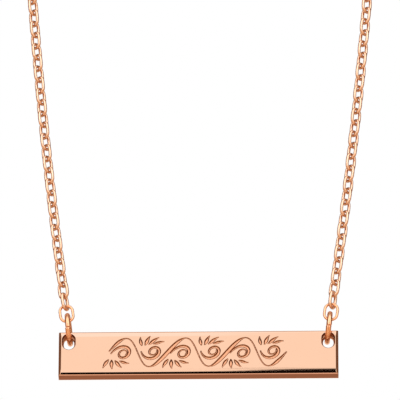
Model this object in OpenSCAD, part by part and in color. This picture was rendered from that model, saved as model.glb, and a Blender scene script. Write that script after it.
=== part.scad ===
// Bar necklace: a flat rectangular bar hung by an oval hole at each end from a loop of fine cable chain.
// Millimetres, +Z up, the bar's face towards -Y. The origin is the middle of the clasp, at the top of
// the loop, where the necklace hangs.

/* [Bar] */
// Length of the bar
bar_length = 38; // [30:0.5:46]
// Height of the bar's face
bar_height = 6.55; // [5.6:0.05:8]
// Thickness of the bar from front to back
bar_thick = 1.9; // [1.4:0.05:2]
// Rounding of the bar's edges
edge_round = 0.35; // [0.15:0.05:0.4]
// Distance between the middles of the two holes
hole_spacing = 35.26; // [26:0.02:36]
// Width of a hole, inside its chamfers
hole_width = 1.44; // [1.4:0.02:1.8]
// Height of a hole, inside its chamfers
hole_height = 2.07; // [2:0.01:2.6]
// Chamfer round both mouths of a hole
hole_chamfer = 0.2; // [0.05:0.05:0.25]
// Metal left between a hole and the top edge
hole_web = 0.5; // [0.5:0.02:0.8]

/* [Rings at the bar] */
// Outside diameter of the thick rings that carry the bar
jump_outer = 4.6; // [4.4:0.02:5.2]
// Wire of the thick rings
jump_wire = 0.72; // [0.6:0.02:0.76]
// Width of the cut where a thick ring closes
seam_gap = 0.08; // [0.04:0.01:0.12]
// How far below the front of the ring its cut lies, in degrees
seam_drop = 17; // [0:1:40]
// How far each thick ring is turned about its upright line, its back towards the middle of the bar, in degrees
jump_turn = 3; // [0:0.5:4]
// How far each thick ring leans outwards, in degrees
jump_lean = 5; // [4:0.5:8]
// How far inwards of the middle of its hole each side of the loop starts
jump_inset = 0.12; // [0.08:0.02:0.14]
// Outside width of the small oval rings
end_width = 2.11; // [2:0.01:2.6]
// Outside length of the small oval rings
end_length = 2.8; // [2.4:0.01:3.2]
// Wire of the small oval rings
end_wire = 0.37; // [0.3:0.01:0.42]

/* [Chain] */
// Links on each side of the loop
links = 99; // [60:1:120]
// Distance from one link to the next
link_pitch = 1.79; // [1.6:0.01:2.2]
// Outside width of a link
link_width = 1.8; // [1.7:0.01:2.2]
// Wire of the links
link_wire = 0.45; // [0.3:0.01:0.46]
// Lean of each side of the loop away from the vertical at the bar, in degrees
lean = 8; // [5:0.1:10]
// Lean where the arch over the top begins, in degrees (below 0 is inwards)
lean_top = -1.5; // [-4:0.5:3]

/* [Clasp] */
// Outside diameter of the clasp's ring
clasp_outer = 5; // [4.6:0.1:6]
// Thickness of the clasp's ring
clasp_wire = 1; // [0.8:0.05:1.1]
// Outside diameter of the clasp's eye
eye_outer = 1.9; // [1.8:0.05:2.2]
// Wire of the clasp's eye
eye_wire = 0.45; // [0.4:0.01:0.5]
// Outside diameter of the small rings on either side of the clasp
clasp_ring_outer = 2.4; // [2.2:0.05:2.8]
// Wire of the small rings on either side of the clasp
clasp_ring_wire = 0.4; // [0.3:0.01:0.42]

/* [Fit] */
// Clearance between the bar and the thick rings
bar_gap = 0.1; // [0.08:0.01:0.15]
// Clearance between one ring or link and the next
link_gap = 0.11; // [0.1:0.01:0.2]

/* [Hidden] */
$fn = 32;
rose_gold = "#eda985";
through = 0.1; // cutters run this far past the faces they cut

// Radius from a ring's middle to the middle of its wire
jump_r = (jump_outer - jump_wire) / 2;
clasp_r = (clasp_outer - clasp_wire) / 2;
eye_r = (eye_outer - eye_wire) / 2;
clasp_ring_r = (clasp_ring_outer - clasp_ring_wire) / 2;

// Half the length of a link and of an oval ring, to the middle of the wire
link_half = (link_pitch + link_wire + link_gap) / 2;
end_half = (end_length - end_wire) / 2;

// Height of a thick ring's middle above the metal that it carries: both edges of the chamfer stay clear
inner_reach = jump_r - jump_wire / 2 - bar_gap;
chamfer_in = bar_thick / 2 - hole_chamfer;
ring_rise = min(
    sqrt(pow(inner_reach, 2) - pow(chamfer_in, 2)),
    hole_chamfer + sqrt(pow(inner_reach, 2) - pow(bar_thick / 2, 2))
);

// Distance between the wire middles of two pieces that hook into each other
function hooked(wire_a, wire_b) = (wire_a + wire_b) / 2 + link_gap;
slant_gap = 0.02; // more room at each end of the oval rings, where the pieces cross at a slant

// Places along one side of the loop, measured up from the top of the bar's hole
jump_at = ring_rise;
end_at = jump_at + jump_r - hooked(jump_wire, end_wire) - slant_gap + end_half;
first_link_at = end_at + end_half - hooked(end_wire, link_wire) - slant_gap + link_half;
last_link_at = first_link_at + (links - 1) * link_pitch;

// The clasp lies straight across the top; the last link of each side is this far from the middle
eye_x = clasp_outer / 2 + eye_outer / 2 - eye_wire / 2;
eye_side = eye_x + eye_r - hooked(eye_wire, clasp_ring_wire) + clasp_ring_r;
free_side = clasp_r - hooked(clasp_wire, clasp_ring_wire) + clasp_ring_r;
clasp_ring_to_link = clasp_ring_r - hooked(clasp_ring_wire, link_wire) + link_half;
top_half = (eye_side + free_side) / 2 + clasp_ring_to_link;
clasp_x = (eye_side - free_side) / 2;

// The loop: a gentle outward bow on each side, then a round arch over to the straight top. The two radii
// follow from the width and the length that the sides must cover.
hole_x = hole_spacing / 2;
loop_x = hole_x - jump_inset;
side_turn = (lean - lean_top) * PI / 180;
arch_turn = (90 + lean_top) * PI / 180;
bow = cos(lean_top) - cos(lean); // outward reach of a side, as a share of its radius
side_r = (last_link_at - arch_turn * (loop_x - top_half) / cos(lean_top))
    / (side_turn + arch_turn * bow / cos(lean_top));
arch_r = (loop_x - top_half + side_r * bow) / cos(lean_top);
side_length = side_r * side_turn;
hole_top_z = -arch_r * (1 + sin(lean_top)) - side_r * (sin(lean) - sin(lean_top));
bar_z = hole_top_z + hole_web - bar_height / 2;

// Heading of the loop at a distance along one side: degrees from the vertical, outwards
function heading(at) =
    at < side_length
        ? lean - at / side_r * 180 / PI
        : lean_top - (at - side_length) / arch_r * 180 / PI;

// Middle of the loop at that distance
function route(at) =
    at < side_length
        ? [loop_x + side_r * (cos(heading(at)) - cos(lean)), 0, hole_top_z + side_r * (sin(lean) - sin(heading(at)))]
        : [top_half + arch_r * cos(heading(at)), 0, -arch_r - arch_r * sin(heading(at))];

// Turn of each link about the loop. The first hangs nearly edge on, the rest lie at 45 degrees each way,
// and the last few turn square to the ring at the clasp.
first_turn = 17; // the first link's extra turn, which dies away up the chain
turn_fade = 0.43; // share of the extra turn left at the next link
square_links = 12; // links over which the chain turns square
end_turn = (links - 1) % 2 == 0 ? 0 : 90;
function squared(i) = max(0, 1 - (links - 1 - i) / square_links);
function turn(i) = 90 * i + 45 + (end_turn - 45) * squared(i) + first_turn * pow(turn_fade, i);

// Puts a piece on one side of the loop, with its +Z along the route
module along(side, at) {
    place = route(at);
    translate([side * place[0], 0, place[2]]) rotate([0, side * heading(at), 0]) children();
}

module rounded_area(width, height) {
    square([width - 2 * edge_round, height], center = true);
    square([width, height - 2 * edge_round], center = true);
    for (x = [-1, 1], y = [-1, 1])
        translate([x * (width / 2 - edge_round), y * (height / 2 - edge_round)]) circle(r = edge_round);
}

// The bar's blank, with rounded edges all round
module blank() {
    intersection() {
        rotate([90, 0, 0]) linear_extrude(bar_thick, center = true) rounded_area(bar_length, bar_height);
        linear_extrude(bar_height, center = true) rounded_area(bar_length, bar_thick);
        rotate([90, 0, 90]) linear_extrude(bar_length, center = true) rounded_area(bar_thick, bar_height);
    }
}

// One chamfered mouth of a hole, opening along +Z, with its long side along Y
module mouth() {
    depth = hole_chamfer + through;
    inner = hole_width / 2;
    half_run = (hole_height - hole_width) / 2;
    for (y = [-1, 1]) translate([0, y * half_run, 0]) cylinder(h = depth, r1 = inner, r2 = inner + depth);
    rotate([90, 0, 0]) linear_extrude(2 * half_run, center = true)
        polygon([[-inner, 0], [inner, 0], [inner + depth, depth], [-inner - depth, depth]]);
}

module hole() {
    half_run = (hole_height - hole_width) / 2;
    rotate([90, 0, 0]) linear_extrude(bar_thick + 2 * through, center = true) {
        for (y = [-1, 1]) translate([0, y * half_run]) circle(d = hole_width);
        square([hole_width, 2 * half_run], center = true);
    }
    for (face = [-1, 1]) rotate([face * 90, 0, 0]) translate([0, 0, bar_thick / 2 - hole_chamfer]) mouth();
}

module bar() {
    color(rose_gold) difference() {
        translate([0, 0, bar_z]) blank();
        for (side = [-1, 1]) translate([side * hole_x, 0, hole_top_z - hole_height / 2]) hole();
    }
}

module round_ring(middle_r, wire) {
    rotate_extrude() translate([middle_r, 0]) circle(d = wire);
}

// An oval ring of wire in the XZ plane, its long side along Z
module oval_ring(half_length, width, wire) {
    bend_r = (width - wire) / 2;
    run = 2 * (half_length - bend_r);
    for (s = [-1, 1]) {
        translate([s * bend_r, 0, 0]) cylinder(h = run, d = wire, center = true);
        translate([0, 0, s * run / 2]) rotate([s * 90, 0, 0])
            rotate_extrude(angle = 180) translate([bend_r, 0]) circle(d = wire);
    }
}

// The thick ring stands square to the bar's face, with its cut at the front, a little below the middle
module jump_ring(side) {
    seam_angle = seam_gap / jump_r * 180 / PI;
    color(rose_gold) along(side, jump_at) rotate([0, side * (jump_lean - heading(jump_at)), 0])
        rotate(side * jump_turn) rotate([seam_drop - 180, 0, 0]) rotate([90, 0, 90]) rotate(seam_angle / 2)
            rotate_extrude(angle = 360 - seam_angle) translate([jump_r, 0]) circle(d = jump_wire);
}

module end_ring(side) {
    color(rose_gold) along(side, end_at) oval_ring(end_half, end_width, end_wire);
}

module chain(side) {
    color(rose_gold) for (i = [0:links - 1])
        along(side, first_link_at + i * link_pitch) rotate(turn(i)) oval_ring(link_half, link_width, link_wire);
}

// A plain ring clasp with its eye, in one piece
module clasp() {
    color(rose_gold) translate([clasp_x, 0, 0]) rotate([90, 0, 0]) {
        round_ring(clasp_r, clasp_wire);
        translate([-eye_x, 0, 0]) round_ring(eye_r, eye_wire);
    }
}

module clasp_ring(x) {
    color(rose_gold) translate([x, 0, 0]) round_ring(clasp_ring_r, clasp_ring_wire);
}

bar();
jump_ring(-1);  // jump_ring_left
jump_ring(1);  // jump_ring_right
end_ring(-1);  // end_ring_left
end_ring(1);  // end_ring_right
chain(-1);  // chain_left
chain(1);  // chain_right
clasp();
clasp_ring(clasp_x - eye_side);  // clasp_ring_left
clasp_ring(clasp_x + free_side);  // clasp_ring_right
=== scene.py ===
import bpy
import bmesh
from math import atan, atan2, cos, pi, radians, sin
from mathutils import Matrix, Vector


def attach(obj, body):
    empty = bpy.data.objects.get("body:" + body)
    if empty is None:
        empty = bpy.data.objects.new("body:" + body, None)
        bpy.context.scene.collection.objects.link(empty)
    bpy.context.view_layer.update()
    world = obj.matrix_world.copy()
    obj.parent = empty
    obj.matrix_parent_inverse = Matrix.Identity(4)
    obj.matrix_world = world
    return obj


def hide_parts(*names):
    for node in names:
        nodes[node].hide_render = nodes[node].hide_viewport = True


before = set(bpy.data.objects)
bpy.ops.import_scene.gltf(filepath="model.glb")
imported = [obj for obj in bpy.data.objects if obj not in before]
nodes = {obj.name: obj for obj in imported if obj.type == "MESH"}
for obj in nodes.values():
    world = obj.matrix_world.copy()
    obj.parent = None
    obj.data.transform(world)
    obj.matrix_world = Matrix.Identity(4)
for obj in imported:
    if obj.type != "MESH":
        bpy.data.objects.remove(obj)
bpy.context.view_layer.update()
mm = 0.001

# The loop as the solids have it, in millimetres. Places along a side are measured up from the top of the bar's hole.
loop = {
    "startX": 17.51,
    "startZ": -168.63612,
    "lean": 8,              # degrees from the vertical at the bar
    "leanTop": -1.5,        # and where the arch over the top begins
    "sideRadius": 896.25446,
    "sideLength": 148.60462,
    "archRadius": 20.98986,
    "topHalf": 4.9425,      # half the stretch that the clasp and its rings take up
    "jumpAt": 1.27589,      # middle of the thick ring
    "firstLinkAt": 5.60589,
}


def heading(at):
    if at < loop["sideLength"]:
        return radians(loop["lean"]) - at / loop["sideRadius"]
    return radians(loop["leanTop"]) - (at - loop["sideLength"]) / loop["archRadius"]


def alongLoop(side, at):
    h = heading(at)
    if at < loop["sideLength"]:
        x = loop["startX"] + loop["sideRadius"] * (cos(h) - cos(heading(0)))
        z = loop["startZ"] + loop["sideRadius"] * (sin(heading(0)) - sin(h))
    else:
        x = loop["topHalf"] + loop["archRadius"] * cos(h)
        z = -loop["archRadius"] * (1 + sin(h))
    return Matrix.Translation((side * x * mm, 0, z * mm)) @ Matrix.Rotation(side * h, 4, "Y")


def makeObject(name, bm, materials, smooth=True):
    mesh = bpy.data.meshes.new(name)
    bm.normal_update()
    bm.to_mesh(mesh)
    bm.free()
    for material in materials:
        mesh.materials.append(material)
    if smooth:
        mesh.shade_smooth()
    thing = bpy.data.objects.new(name, mesh)
    bpy.context.scene.collection.objects.link(thing)
    return thing


def softenEdges(bm, edges, width, segments):
    bmesh.ops.bevel(bm, geom=edges, offset=width * mm, segments=segments, profile=0.5, affect="EDGES", material=-1,
                    clamp_overlap=True)


# Colours and materials

def linear(hexCode):
    parts = [int(hexCode[i:i + 2], 16) / 255 for i in (1, 3, 5)]
    return tuple(c / 12.92 if c <= 0.04045 else ((c + 0.055) / 1.055) ** 2.4 for c in parts) + (1.0,)


def addNode(tree, kind, inputs=None, **settings):
    node = tree.nodes.new(kind)
    for name, value in settings.items():
        setattr(node, name, value)
    for socket, value in (inputs or {}).items():
        if isinstance(value, bpy.types.NodeSocket):
            tree.links.new(value, node.inputs[socket])
        else:
            node.inputs[socket].default_value = value
    return node


plating = {
    "clouds": 2.5,          # mm, size of the faint drifts in the tone of the plate
    "cloudDetail": 2.0,
    "cloudSoftness": 0.5,
    "grainDetail": 3.0,
    "grainSoftness": 0.6,
    "grainFrom": 0.3,       # the grain's values that give the smoothest and the roughest spots
    "grainTo": 0.7,
    "relief": 0.01,         # mm, height of the grain at a bump strength of 1
}


def roseGold(name, colour, deeper, roughness, rougher, grain, bump):
    # grain is the width in mm of the marks that the last polishing grit or tool left. Real ones are a few thousandths
    # wide, and they are drawn ten times coarser or more, so that they show.
    material = bpy.data.materials.new(name)
    material.use_nodes = True
    tree = material.node_tree
    tree.nodes.clear()
    place = addNode(tree, "ShaderNodeTexCoord").outputs["Object"]
    clouds = addNode(tree, "ShaderNodeTexNoise", {
        "Vector": place, "Scale": 1 / (plating["clouds"] * mm), "Detail": plating["cloudDetail"],
        "Roughness": plating["cloudSoftness"]})
    marks = addNode(tree, "ShaderNodeTexNoise", {
        "Vector": place, "Scale": 1 / (grain * mm), "Detail": plating["grainDetail"],
        "Roughness": plating["grainSoftness"]})
    shade = addNode(tree, "ShaderNodeMix", {
        "Factor": clouds.outputs["Fac"], "A": linear(colour), "B": linear(deeper)}, data_type="RGBA")
    rough = addNode(tree, "ShaderNodeMapRange", {
        "Value": marks.outputs["Fac"], "From Min": plating["grainFrom"], "From Max": plating["grainTo"],
        "To Min": roughness, "To Max": rougher})
    relief = addNode(tree, "ShaderNodeBump", {
        "Height": marks.outputs["Fac"], "Strength": bump, "Distance": plating["relief"] * mm})
    metal = addNode(tree, "ShaderNodeBsdfPrincipled", {
        "Base Color": shade.outputs["Result"], "Metallic": 1.0, "Roughness": rough.outputs["Result"],
        "Normal": relief.outputs["Normal"]})
    addNode(tree, "ShaderNodeOutputMaterial", {"Surface": metal.outputs["BSDF"]})
    return material


# a mirror: the face shows one clean pale light, and a black gap below it
polishedBar = roseGold("rose gold plate, mirror polished", "#f9ccae", "#f8c9aa", 0.03, 0.05, 0.06, 0.004)
# fine ridges spread the light, so the floors of the cuts glow evenly and a little deeper than the face
cutFloor = roseGold("rose gold plate, scraped by the graver", "#e6a985", "#d89a76", 0.30, 0.42, 0.05, 0.3)
# steep and facing away from the light, so these walls and the holes' mouths are coloured dark brown: painted shade,
# which gives each cut a thin brown outline
cutWallPaintedShade = roseGold("rose gold plate, steep side of a graver's cut", "#9a6844", "#845434", 0.22, 0.32, 0.05, 0.1)
# drawn wire: a soft bright stripe down its middle and deep orange beside it
ringWire = roseGold("rose gold plated wire, polished", "#f0ba94", "#ecb088", 0.20, 0.28, 0.08, 0.05)
# the polishing wheel doesn't reach into the holes, so their walls are rough and blurred; their pale, nearly white
# colour is painted light that brightens the walls inside the holes
dullHoleMetalPaintedLight = roseGold("rose gold plate, dull inside the drilled holes", "#f0dccb", "#e2c8b4",
                        0.26, 0.36, 0.05, 0.2)
# small rubbed dents from the tumbler break the highlights of the links up
chainWire = roseGold("rose gold plated chain wire, tumbled", "#eac5ab", "#e1b799", 0.20, 0.28, 0.06, 0.15)
# smoother than the wire, with sharper highlights
claspMetal = roseGold("rose gold plated clasp, polished", "#f8c8a6", "#f5bf9a", 0.08, 0.14, 0.08, 0.1)
print("materials")


# Camera

camera = {
    "middle": (0.000117, 0, -0.147476),    # what it looks at, in metres
    "distance": 1.0,
    "below": 28.12,                        # degrees that it looks up
    "aside": -1.365,                       # degrees that it looks to the left
    "roll": 0.213,
    "lens": 654.9,                         # long enough to frame the bar and the lower chain from a metre off
    "sensor": 36,
    "near": 0.05,
    "far": 50,
}
scene = bpy.context.scene
scene.view_settings.view_transform = "Standard"
lens = bpy.data.cameras.new("camera")
lens.lens, lens.sensor_width = camera["lens"], camera["sensor"]
lens.clip_start, lens.clip_end = camera["near"], camera["far"]
eye = bpy.data.objects.new("camera", lens)
scene.collection.objects.link(eye)
up, aside = radians(camera["below"]), radians(camera["aside"])
forward = Vector((sin(aside) * cos(up), cos(aside) * cos(up), sin(up)))
eye.location = Vector(camera["middle"]) - forward * camera["distance"]
facing = forward.to_track_quat("-Z", "Y").to_matrix().to_4x4() @ Matrix.Rotation(radians(camera["roll"]), 4, "Z")
eye.rotation_euler = facing.to_euler()
scene.camera = eye


# World. What the metal reflects, by elevation in degrees, for five bearings round the object. The front is a large
# soft light with a dark gap below it, and the side, flank and back are dim and warm.
reflected = {
    "front": [(-90, "#b8a095"), (-84, "#b8a095"), (-80, "#0a0503"), (16, "#0a0503"), (17.6, "#b3b1af"),
              (19, "#b9b8b7"), (28, "#b9b8b7"), (34, "#bec6cf"), (56, "#c8ccd0"), (72, "#8f8176"), (90, "#83766c")],
    "wide": [(-90, "#a08a78"), (-60, "#c8ad92"), (-12, "#c8ad92"), (-5, "#f0e8e0"), (28, "#ffffff"),
             (66, "#f8f0e8"), (78, "#a08c7c"), (90, "#83766c")],
    "side": [(-90, "#836c5d"), (-60, "#9a7a60"), (-8, "#9a7a60"), (10, "#4e3a2c"), (40, "#4e3a2c"),
             (60, "#6a5a4e"), (90, "#83766c")],
    "flank": [(-90, "#a08a78"), (-60, "#a08672"), (0, "#a08672"), (30, "#8f7868"), (90, "#83766c")],
    "back": [(-90, "#b8a095"), (-62, "#a88e80"), (-48, "#6a4e3f"), (-24, "#6a4e3f"), (-14, "#b8a898"),
             (16, "#b8a898"), (26, "#3a2618"), (54, "#3a2618"), (68, "#a39486"), (90, "#a39486")],
}
room = {
    "brightness": 2.2,
    # degrees off the front between which one of the rows above gives way to the next
    "changes": [("wide", 6, 11), ("side", 48, 70), ("flank", 100, 118), ("back", 135, 152)],
    "gapFrom": -1.5,        # bearings between which the dark gap grows taller, over the right half of the bar
    "gapTo": -0.55,
    "gapGrows": 7,          # degrees
}
world = bpy.data.worlds.new("studio")
scene.world = world
world.use_nodes = True
sky = world.node_tree
sky.nodes.clear()
direction = addNode(sky, "ShaderNodeSeparateXYZ", {0: addNode(sky, "ShaderNodeTexCoord").outputs["Generated"]})
elevation = addNode(sky, "ShaderNodeMath", {0: direction.outputs["Z"]}, operation="ARCSINE")
level = addNode(sky, "ShaderNodeMapRange", {"Value": elevation.outputs[0], "From Min": -pi / 2, "From Max": pi / 2})
ahead = addNode(sky, "ShaderNodeMath", {0: direction.outputs["Y"], 1: -1.0}, operation="MULTIPLY")
bearing = addNode(sky, "ShaderNodeMath", {0: direction.outputs["X"], 1: ahead.outputs[0]}, operation="ARCTAN2")
offFront = addNode(sky, "ShaderNodeMath", {0: bearing.outputs[0]}, operation="ABSOLUTE")
growth = addNode(sky, "ShaderNodeMapRange", {
    "Value": bearing.outputs[0], "From Min": radians(room["gapFrom"]), "From Max": radians(room["gapTo"]),
    "To Min": 0, "To Max": room["gapGrows"] / 180})
gapLevel = addNode(sky, "ShaderNodeMath", {0: level.outputs["Result"], 1: growth.outputs["Result"]},
                   operation="SUBTRACT")


def elevationRamp(stops, height):
    node = addNode(sky, "ShaderNodeValToRGB", {"Fac": height})
    ramp = node.color_ramp
    while len(ramp.elements) < len(stops):
        ramp.elements.new(0.5)
    for element, (degrees, _) in zip(ramp.elements, stops):
        element.position = (degrees + 90) / 180
    # the colours come after, because the elements sort themselves by position
    for element, (_, colour) in zip(ramp.elements, stops):
        element.color = linear(colour)
    return node.outputs["Color"]


def towards(first, second, start, end):
    share = addNode(sky, "ShaderNodeMapRange", {
        "Value": offFront.outputs[0], "From Min": radians(start), "From Max": radians(end)},
        interpolation_type="SMOOTHSTEP")
    mix = addNode(sky, "ShaderNodeMix", {"Factor": share.outputs["Result"], "A": first, "B": second},
                  data_type="RGBA")
    return mix.outputs["Result"]


light = elevationRamp(reflected["front"], gapLevel.outputs[0])
for row, start, end in room["changes"]:
    light = towards(light, elevationRamp(reflected[row], level.outputs["Result"]), start, end)
studio = addNode(sky, "ShaderNodeBackground", {"Color": light, "Strength": room["brightness"]})
white = addNode(sky, "ShaderNodeBackground", {"Color": (1, 1, 1, 1), "Strength": 1.0})
rays = addNode(sky, "ShaderNodeLightPath")
both = addNode(sky, "ShaderNodeMixShader", {
    0: rays.outputs["Is Camera Ray"], 1: studio.outputs[0], 2: white.outputs[0]})
addNode(sky, "ShaderNodeOutputWorld", {"Surface": both.outputs[0]})


# Floor

ground = {
    "radius": 9,            # metres
    "below": 4,
    "sides": 64,
    "tone": "#f4f2ef",
    "roughness": 0.9,
}
disc = bmesh.new()
bmesh.ops.create_circle(disc, cap_ends=True, segments=ground["sides"], radius=ground["radius"])
bmesh.ops.translate(disc, vec=(0, 0, -ground["below"]), verts=disc.verts)
# matt and nearly white, so it takes no highlight
paleFloor = bpy.data.materials.new("pale matt floor")
paleFloor.use_nodes = True
paint = paleFloor.node_tree.nodes["Principled BSDF"].inputs
paint["Base Color"].default_value = linear(ground["tone"])
paint["Roughness"].default_value = ground["roughness"]
floor = makeObject("floor", disc, [paleFloor], smooth=False)
floor.visible_glossy = False
print("camera, world and floor")


# Chain

link = {
    "count": 99,            # on each side
    "pitch": 1.79,
    "width": 1.8,
    "wire": 0.45,
    "gap": 0.11,
    "steps": 12,            # round the link
    "sides": 6,             # round the wire
    "firstTurn": 17,        # extra turn of the first link, which dies away up the chain
    "turnFade": 0.43,
    "squareLinks": 12,      # the last links turn square to the ring at the clasp
}


def drawnIn(sides):
    # how far one level of subdivision draws a ring of so many points in
    return (4 + 2 * cos(2 * pi / sides)) / 6


def ovalRing(bm, bend, run, wire, steps, sides):
    # a ring of wire in the XZ plane, spun and then pulled apart into an oval
    tube = bmesh.ops.create_circle(bm, segments=sides, radius=wire / 2)["verts"]
    bmesh.ops.rotate(bm, verts=tube, matrix=Matrix.Rotation(pi / sides, 3, "Z"))
    bmesh.ops.translate(bm, verts=tube, vec=(bend, 0, 0))
    edges = list({e for v in tube for e in v.link_edges})
    bmesh.ops.rotate(bm, verts=tube, matrix=Matrix.Rotation(pi / steps, 3, "Y"), cent=(0, 0, 0))
    bmesh.ops.spin(bm, geom=tube + edges, cent=(0, 0, 0), axis=(0, 1, 0), angle=2 * pi, steps=steps, use_merge=True)
    for end in (1, -1):
        half = [v for v in bm.verts if v.co.z * end > 0]
        bmesh.ops.translate(bm, verts=half, vec=(0, 0, end * run / 2))


def makeChain(side, name, node):
    wire, bend = link["wire"] * mm, (link["width"] - link["wire"]) / 2 * mm
    run = (link["pitch"] + link["wire"] + link["gap"]) * mm - 2 * bend
    one = bmesh.new()
    ovalRing(one, bend / drawnIn(link["steps"]), run, wire / drawnIn(link["sides"]), link["steps"], link["sides"])
    bmesh.ops.recalc_face_normals(one, faces=one.faces)
    oneMesh = bpy.data.meshes.new("link")
    one.to_mesh(oneMesh)
    one.free()
    bm = bmesh.new()
    last = link["count"] - 1
    for i in range(link["count"]):
        squared = max(0, 1 - (last - i) / link["squareLinks"])
        turn = 90 * i + 45 - 45 * squared + link["firstTurn"] * link["turnFade"] ** i
        before = len(bm.verts)
        bm.from_mesh(oneMesh)
        bm.verts.ensure_lookup_table()
        place = alongLoop(side, loop["firstLinkAt"] + i * link["pitch"]) @ Matrix.Rotation(radians(turn), 4, "Z")
        bmesh.ops.transform(bm, matrix=place, verts=bm.verts[before:])
    bpy.data.meshes.remove(oneMesh)
    chain = makeObject(name, bm, [chainWire])
    smoother = chain.modifiers.new("smoother", "SUBSURF")
    smoother.levels = smoother.render_levels = 1
    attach(chain, "loop")
    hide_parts(node)


makeChain(-1, "links_left", "chain_left")
makeChain(1, "links_right", "chain_right")
print("chain")


# Thick rings that carry the bar

jumpRing = {
    "middle": 1.94,         # radius to the middle of the wire
    "wire": 0.72,
    "seam": 0.08,
    "seamDrop": 17,         # degrees below the front
    "lean": 5,              # degrees outwards
    "turn": 3,              # degrees about its upright line, its back towards the middle of the bar
    "sideStep": 0.05,       # how far the two ends miss each other
    "softEnd": 0.03,
    "steps": 72,
    "sides": 24,
}


def makeJumpRing(side, name, node):
    cut = jumpRing["seam"] / jumpRing["middle"]
    seamTurn = Matrix.Rotation(radians(jumpRing["seamDrop"]) + cut / 2, 3, "X")
    bm = bmesh.new()
    tube = bmesh.ops.create_circle(bm, cap_ends=True, segments=jumpRing["sides"],
                                   radius=jumpRing["wire"] / 2 * mm)["verts"]
    bmesh.ops.translate(bm, verts=tube, vec=(0, -jumpRing["middle"] * mm, 0))
    bmesh.ops.rotate(bm, verts=tube, cent=(0, 0, 0), matrix=seamTurn)
    step = jumpRing["sideStep"] / jumpRing["steps"] * mm
    bmesh.ops.spin(bm, geom=bm.verts[:] + bm.edges[:] + bm.faces[:], cent=(0, 0, 0), axis=(1, 0, 0),
                   dvec=(step, 0, 0), angle=2 * pi - cut, steps=jumpRing["steps"])
    softenEdges(bm, [e for f in bm.faces if len(f.verts) > 4 for e in f.edges], jumpRing["softEnd"], 2)
    bmesh.ops.recalc_face_normals(bm, faces=bm.faces)
    bmesh.ops.translate(bm, verts=bm.verts, vec=(-jumpRing["sideStep"] / 2 * mm, 0, 0))
    turned = Matrix.Rotation(radians(side * jumpRing["turn"]), 4, "Z")
    leaned = Matrix.Rotation(side * (radians(jumpRing["lean"]) - heading(loop["jumpAt"])), 4, "Y")
    bmesh.ops.transform(bm, matrix=alongLoop(side, loop["jumpAt"]) @ leaned @ turned, verts=bm.verts)
    ring = makeObject(name, bm, [ringWire])
    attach(ring, "loop")
    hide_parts(node)


makeJumpRing(-1, "thick_ring_left", "jump_ring_left")
makeJumpRing(1, "thick_ring_right", "jump_ring_right")
print("thick rings")


# Bar with its engraved vine

bar = {
    "length": 38,
    "height": 6.55,
    "thick": 1.9,
    "round": 0.35,
    "roundSteps": 10,
    "endBevel": 0.32,       # flat bevel down the front of the two ends
    "softEdge": 0.05,       # rounding where the ends and their bevels meet the rest
    "sharpFrom": 30,        # degrees, edges sharper than this get the soft edge
    "crown": 0.025,         # how far polishing has rolled off the faces near their long edges
    "crownWidth": 0.5,
    "creaseFrom": 25,       # degrees, edges sharper than this show as an edge
    "middleZ": -171.41112,
    "holeX": 17.63,
    "holeZ": 1.74,          # above the bar's middle
    "holeWidth": 1.44,
    "holeHeight": 2.07,
    "holeSides": 48,
    "rim": 0.2,             # width of the worn edge at the holes' mouths
    "worn": [(1.25, -0.3), (0.5, 0.6), (0, 2.2)],     # its section, out and down, as shares of the rim
}
vine = {
    "start": -12.3,         # left end
    "bay": 4.05,            # one half wave of the stem
    "bays": 6,
    "rise": 2.15,           # height of the stem's waves
    "slant": 0.22,          # how far the whole vine leans to the right
    "steps": 260,           # along the stem
    "margin": 0.1,          # the stem starts this far in
    "thin": 0.2,
    "thick": 0.42,          # added to the stem where it climbs
    "swell": 2.2,           # how suddenly it thickens
    "tip": 1.4,             # the stem's ends taper over this length
    "tipWidth": 0.3,        # down to this share
    "leafSwell": 1.6,       # how suddenly a leaf or a scroll thickens
    "wall": 0.15,           # widest sloping wall of a cut
    "wallShare": 0.8,       # most of a cut's half width that one wall takes
    "steep": 1.0,           # depth of a wall over its width
    "proud": 0.02,          # how far the graver's path starts outside the face
    "floorFrom": 0.95,      # faces of a cut that look this squarely to the front are its floor
    # from the start of each bay: x, z, heading, length, bend at the start and the end, least and greatest width,
    # where it is widest, steps
    "scroll": (0.42, -0.20, 66, 7.6, -0.36, -2.2, 0.19, 0.52, 0.72, 60),
    "leaves": [
        (0.34, -1.00, -112, 1.45, -0.35, 0.9, 0.15, 0.50, 0.8, 20),
        (0.74, -1.07, -72, 1.50, -0.5, 0.9, 0.15, 0.56, 0.8, 20),
        (1.20, -1.18, -40, 1.65, -0.5, 0.9, 0.15, 0.52, 0.8, 20),
        (1.82, -1.28, -12, 1.5, -0.5, 0.9, 0.15, 0.44, 0.8, 20),
    ],
}
barMetals = [polishedBar, cutFloor, cutWallPaintedShade, dullHoleMetalPaintedLight]
floorSlot, paintedShadeWallSlot, paintedLightHoleSlot = 1, 2, 3
hair = 0.001                # mm, less than any real difference


def boolean(thing, cutter):
    cut = thing.modifiers.new("cut", "BOOLEAN")
    cut.object, cut.solver, cut.operation, cut.use_self = cutter, "EXACT", "DIFFERENCE", True
    bpy.context.view_layer.update()
    done = bpy.data.meshes.new_from_object(thing.evaluated_get(bpy.context.evaluated_depsgraph_get()))
    thing.modifiers.remove(cut)
    old, thing.data = thing.data, done
    bpy.data.meshes.remove(old)
    spare = cutter.data
    bpy.data.objects.remove(cutter)
    bpy.data.meshes.remove(spare)


def stroke(x, z, degrees, length, bendStart, bendEnd, thin, wide, lead, steps):
    # points along a scroll or a leaf, each with its heading and half width
    points, angle, step = [], radians(degrees), length / steps
    for k in range(steps + 1):
        share = k / steps
        width = thin + (wide - thin) * sin(pi * share ** lead) ** vine["leafSwell"]
        points.append((x, z, angle, width / 2))
        turned = angle + (bendStart + (bendEnd - bendStart) * (share + 0.5 / steps)) * step
        x += cos((angle + turned) / 2) * step
        z += sin((angle + turned) / 2) * step
        angle = turned
    return points


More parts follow.
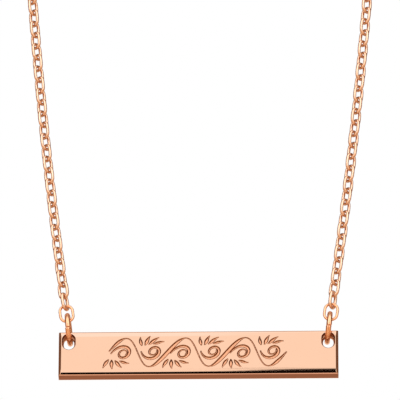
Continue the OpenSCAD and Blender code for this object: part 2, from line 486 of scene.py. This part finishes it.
def stem():
    points, wave = [], pi / vine["bay"]
    end = vine["bay"] * vine["bays"]
    steepest = atan(vine["rise"] * wave)
    for k in range(vine["steps"] + 1):
        u = vine["margin"] + (end - vine["margin"]) * k / vine["steps"]
        slope = atan(vine["rise"] * wave * cos(wave * u))
        width = vine["thin"] + vine["thick"] * max(0, sin(slope) / sin(steepest)) ** vine["swell"]
        taper = min(1, min(u - vine["margin"], end - u) / vine["tip"] + vine["tipWidth"])
        points.append((vine["start"] + u, vine["rise"] * sin(wave * u), slope, width * taper / 2))
    return points


def cutSection(x, z, angle, half, faceY):
    # the four corners of the graver's cut, square to its path
    x, angle = x + vine["slant"] * z, atan2(sin(angle), cos(angle) + vine["slant"] * sin(angle))
    wall, proud = min(vine["wall"], half * vine["wallShare"]), vine["proud"]
    wide, deep = half + proud / vine["steep"], wall * vine["steep"]
    across = Vector((-sin(angle), 0, cos(angle)))
    middle = Vector((x, 0, z + bar["middleZ"]))
    corners = ((wide, -proud), (half - wall, deep), (wall - half, deep), (-wide, -proud))
    return [(middle + across * w + Vector((0, faceY + y, 0))) * mm for w, y in corners]


def carve(bm, points, faceY):
    # sweeps the cut's section along a path
    last = cutSection(*points[0], faceY)
    end = bm.faces.new([bm.verts.new(place) for place in last])
    for point in points[1:]:
        grown = bmesh.ops.extrude_face_region(bm, geom=[end, *end.edges, *end.verts])["geom"]
        end = next(part for part in grown if isinstance(part, bmesh.types.BMFace))
        places = cutSection(*point, faceY)
        for corner in end.verts:
            corner.co = places[min(range(4), key=lambda i: (corner.co - last[i]).length)]
        last = places


def ovalCutter(bm, x, z):
    # a hole's cutter, made of oval loops that flare out to the worn mouths
    half, radius = bar["thick"] / 2, bar["holeWidth"] / 2
    pull = (bar["holeHeight"] - bar["holeWidth"]) / 2 * mm
    flare = [(out * bar["rim"], deep * bar["rim"]) for out, deep in bar["worn"]]
    stations = [(out, deep - half) for out, deep in flare] + [(out, half - deep) for out, deep in reversed(flare)]
    loops = []
    for out, y in stations:
        ring = bmesh.ops.create_circle(bm, segments=bar["holeSides"], radius=(radius + out) * mm)["verts"]
        bmesh.ops.rotate(bm, verts=ring, cent=(0, 0, 0), matrix=Matrix.Rotation(pi / bar["holeSides"], 3, "Z"))
        bmesh.ops.rotate(bm, verts=ring, cent=(0, 0, 0), matrix=Matrix.Rotation(pi / 2, 3, "X"))
        for v in ring:
            v.co.z += pull if v.co.z > 0 else -pull
        bmesh.ops.translate(bm, verts=ring, vec=(x * mm, y * mm, z * mm))
        loops.append(list({e for v in ring for e in v.link_edges}))
    for first, second in zip(loops, loops[1:]):
        bmesh.ops.bridge_loops(bm, edges=first + second)
    for ends in (loops[0], loops[-1]):
        bmesh.ops.contextual_create(bm, geom=ends)


def makePlate():
    half = bar["thick"] / 2
    bm = bmesh.new()
    bmesh.ops.create_cube(bm, size=1)
    bmesh.ops.scale(bm, verts=bm.verts, vec=(bar["length"] * mm, bar["thick"] * mm, bar["height"] * mm))
    longEdges = [e for e in bm.edges if abs(e.verts[0].co.x - e.verts[1].co.x) > mm]
    softenEdges(bm, longEdges, bar["round"], bar["roundSteps"])
    for side in (-1, 1):
        corner = Vector((side * (bar["length"] / 2 - bar["endBevel"]), -half, 0)) * mm
        cut = bmesh.ops.bisect_plane(bm, geom=bm.verts[:] + bm.edges[:] + bm.faces[:], plane_co=corner,
                                     plane_no=(side, -1, 0), clear_outer=True)
        bmesh.ops.contextual_create(bm, geom=[p for p in cut["geom_cut"] if isinstance(p, bmesh.types.BMEdge)])
    bmesh.ops.recalc_face_normals(bm, faces=bm.faces)
    sharpEdges = [e for e in bm.edges if e.calc_face_angle() > radians(bar["sharpFrom"])]
    softenEdges(bm, sharpEdges, bar["softEdge"], 2)
    crownEdge = (bar["height"] / 2 - bar["round"] - bar["crownWidth"]) * mm
    for z in (crownEdge, -crownEdge):
        bmesh.ops.bisect_plane(bm, geom=bm.verts[:] + bm.edges[:] + bm.faces[:], plane_co=(0, 0, z),
                               plane_no=(0, 0, 1))
    for v in bm.verts:
        if abs(v.co.z) < crownEdge + hair * mm and abs(v.co.y) > (half - hair) * mm:
            v.co.y += bar["crown"] * mm if v.co.y > 0 else -bar["crown"] * mm
    bmesh.ops.translate(bm, verts=bm.verts, vec=(0, 0, bar["middleZ"] * mm))
    return makeObject("engraved_bar", bm, barMetals)


def cutHoles(plate):
    bm = bmesh.new()
    for side in (-1, 1):
        ovalCutter(bm, side * bar["holeX"], bar["middleZ"] + bar["holeZ"])
    bmesh.ops.recalc_face_normals(bm, faces=bm.faces)
    inside = (bar["thick"] / 2 - bar["rim"] / 2) * mm
    # the mouths of the holes take the dark brown painted shade, the walls further in the pale painted light
    for face in bm.faces:
        face.material_index = paintedLightHoleSlot if abs(face.calc_center_median().y) < inside else paintedShadeWallSlot
    boolean(plate, makeObject("holes", bm, barMetals))


def engrave(plate):
    bm = bmesh.new()
    faceY = -bar["thick"] / 2 - bar["crown"]
    carve(bm, stem(), faceY)
    for k in range(vine["bays"]):
        for x, z, *rest in [vine["scroll"]] + vine["leaves"]:
            points = stroke(vine["start"] + k * vine["bay"] + x, z, *rest)
            if k % 2 == 1:  # every other bay is upside down
                points = [(px, -pz, -angle, half) for px, pz, angle, half in points]
            carve(bm, points, faceY)
    bmesh.ops.recalc_face_normals(bm, faces=bm.faces)
    # the floors of the cuts take the floor metal, and their steep walls the dark brown painted shade
    for face in bm.faces:
        face.material_index = floorSlot if abs(face.normal.y) > vine["floorFrom"] else paintedShadeWallSlot
    boolean(plate, makeObject("graver", bm, barMetals))


plate = makePlate()
cutHoles(plate)
engrave(plate)
plate.data.shade_smooth()
plate.data.set_sharp_from_angle(angle=radians(bar["creaseFrom"]))
weighted = plate.modifiers.new("even normals", "WEIGHTED_NORMAL")
weighted.mode, weighted.weight, weighted.keep_sharp = "FACE_AREA", 50, True
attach(plate, "bar")
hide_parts("bar")
print("bar:", len(plate.data.polygons), "faces")

# the thin rings and the clasp keep their solids, in the scene's own metals
for name in ("end_ring_left", "end_ring_right", "clasp_ring_left", "clasp_ring_right"):
    nodes[name].data.materials.clear()
    nodes[name].data.materials.append(ringWire)
nodes["clasp"].data.materials.clear()
nodes["clasp"].data.materials.append(claspMetal)
print("thin rings and clasp")
